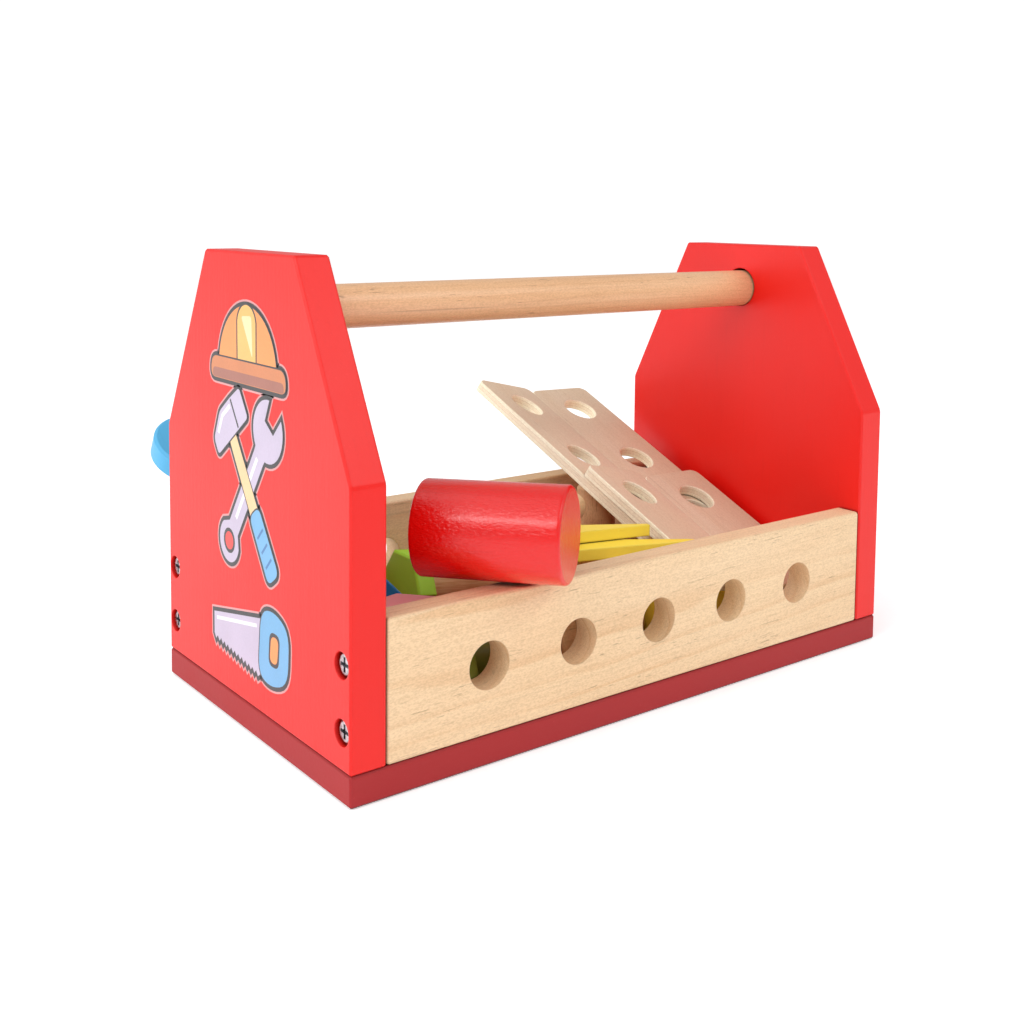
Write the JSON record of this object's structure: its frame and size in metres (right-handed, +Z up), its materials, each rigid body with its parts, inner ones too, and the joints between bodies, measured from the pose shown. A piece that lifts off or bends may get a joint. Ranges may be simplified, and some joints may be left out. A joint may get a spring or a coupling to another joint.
{
  "type": "toy carpenter toolbox",
  "caption": "Open wooden tote tray with tapered end panels, a round carrying handle, peg holes along both sides, and toy tools lying in the tray.",
  "frame": {"origin": "centre of the base board's underside", "axes": "+X along the box and its handle, -Y is the front board, +Z up"},
  "size_m": [0.2404, 0.1853, 0.1555],
  "materials": {
    "red_paint": "satin paint",
    "dark_red_paint": "satin paint",
    "pine": "sanded",
    "beech": "sanded",
    "plywood": "sanded",
    "gloss_red": "gloss paint",
    "yellow_paint": "satin paint",
    "blue_paint": "satin paint",
    "green_paint": "satin paint",
    "steel": "zinc plated",
    "sticker": "printed film"
  },
  "bodies": {
    "box": {"base_board": "dark_red_paint", "left_end_panel": "red_paint", "right_end_panel": "red_paint", "front_board": "pine", "back_board": "pine", "left_panel_screws": "steel", "right_panel_screws": "steel", "base_screws": "steel", "left_emblem": "sticker", "right_emblem": "sticker", "lying_green_bolt": "green_paint", "red_bolt": "red_paint", "yellow_bolt": "yellow_paint", "natural_nut": "beech", "yellow_nut": "yellow_paint", "lying_bolt": "beech", "blue_nut": "blue_paint", "bolt_under_left_strip": "beech", "bolt_under_right_strip": "beech"},
    "handle": {"handle_dowel": "beech"},
    "pliers_lower": {"pliers_lower_half": "yellow_paint", "pliers_pin": "beech"},
    "pliers_upper": {"pliers_upper_half": "yellow_paint"},
    "hammer": {"hammer_head": "gloss_red", "hammer_handle": "beech"},
    "left_long_strip": {"strip_long_left": "plywood"},
    "right_long_strip": {"strip_long_right": "plywood"},
    "left_short_strip": {"strip_short_left": "plywood"},
    "right_short_strip": {"strip_short_right": "plywood"},
    "spanner": {"blue_spanner": "blue_paint"},
    "loose_bolt": {"green_bolt": "green_paint"}
  },
  "joints": [
    {"name": "handle_spin", "type": "hinge", "parent": "box", "child": "handle", "pos_m": [0, 0, 0.137], "axis": [1, 0, 0], "continuous": true},
    {"name": "pliers_lift", "type": "slide", "parent": "box", "child": "pliers_lower", "axis": [0, 0, 1], "range_m": [0, 0.06]},
    {"name": "pliers_pivot", "type": "hinge", "parent": "pliers_lower", "child": "pliers_upper", "pos_m": [-0.015, -0.025, 0.04865], "axis": [0, 0, 1], "range_deg": [-12, 0]},
    {"name": "hammer_lift", "type": "slide", "parent": "pliers_lower", "child": "hammer", "axis": [-0.3004, -0.8511, 0.4306], "range_m": [0, 0.12]},
    {"name": "left_long_strip_lift", "type": "slide", "parent": "box", "child": "left_long_strip", "axis": [-0.0661, 0.9002, 0.4305], "range_m": [0, 0.11]},
    {"name": "right_long_strip_lift", "type": "slide", "parent": "box", "child": "right_long_strip", "axis": [-0.0661, 0.9002, 0.4305], "range_m": [0, 0.11]},
    {"name": "left_short_strip_lift", "type": "slide", "parent": "left_long_strip", "child": "left_short_strip", "axis": [-0.0661, 0.9002, 0.4305], "range_m": [0, 0.14]},
    {"name": "right_short_strip_lift", "type": "slide", "parent": "right_long_strip", "child": "right_short_strip", "axis": [-0.0661, 0.9002, 0.4305], "range_m": [0, 0.14]},
    {"name": "spanner_lift", "type": "slide", "parent": "box", "child": "spanner", "axis": [0, 0.8829, 0.4695], "range_m": [0, 0.11]},
    {"name": "green_bolt_lift", "type": "slide", "parent": "box", "child": "loose_bolt", "axis": [0, 0, 1], "range_m": [0, 0.07]}
  ]
}
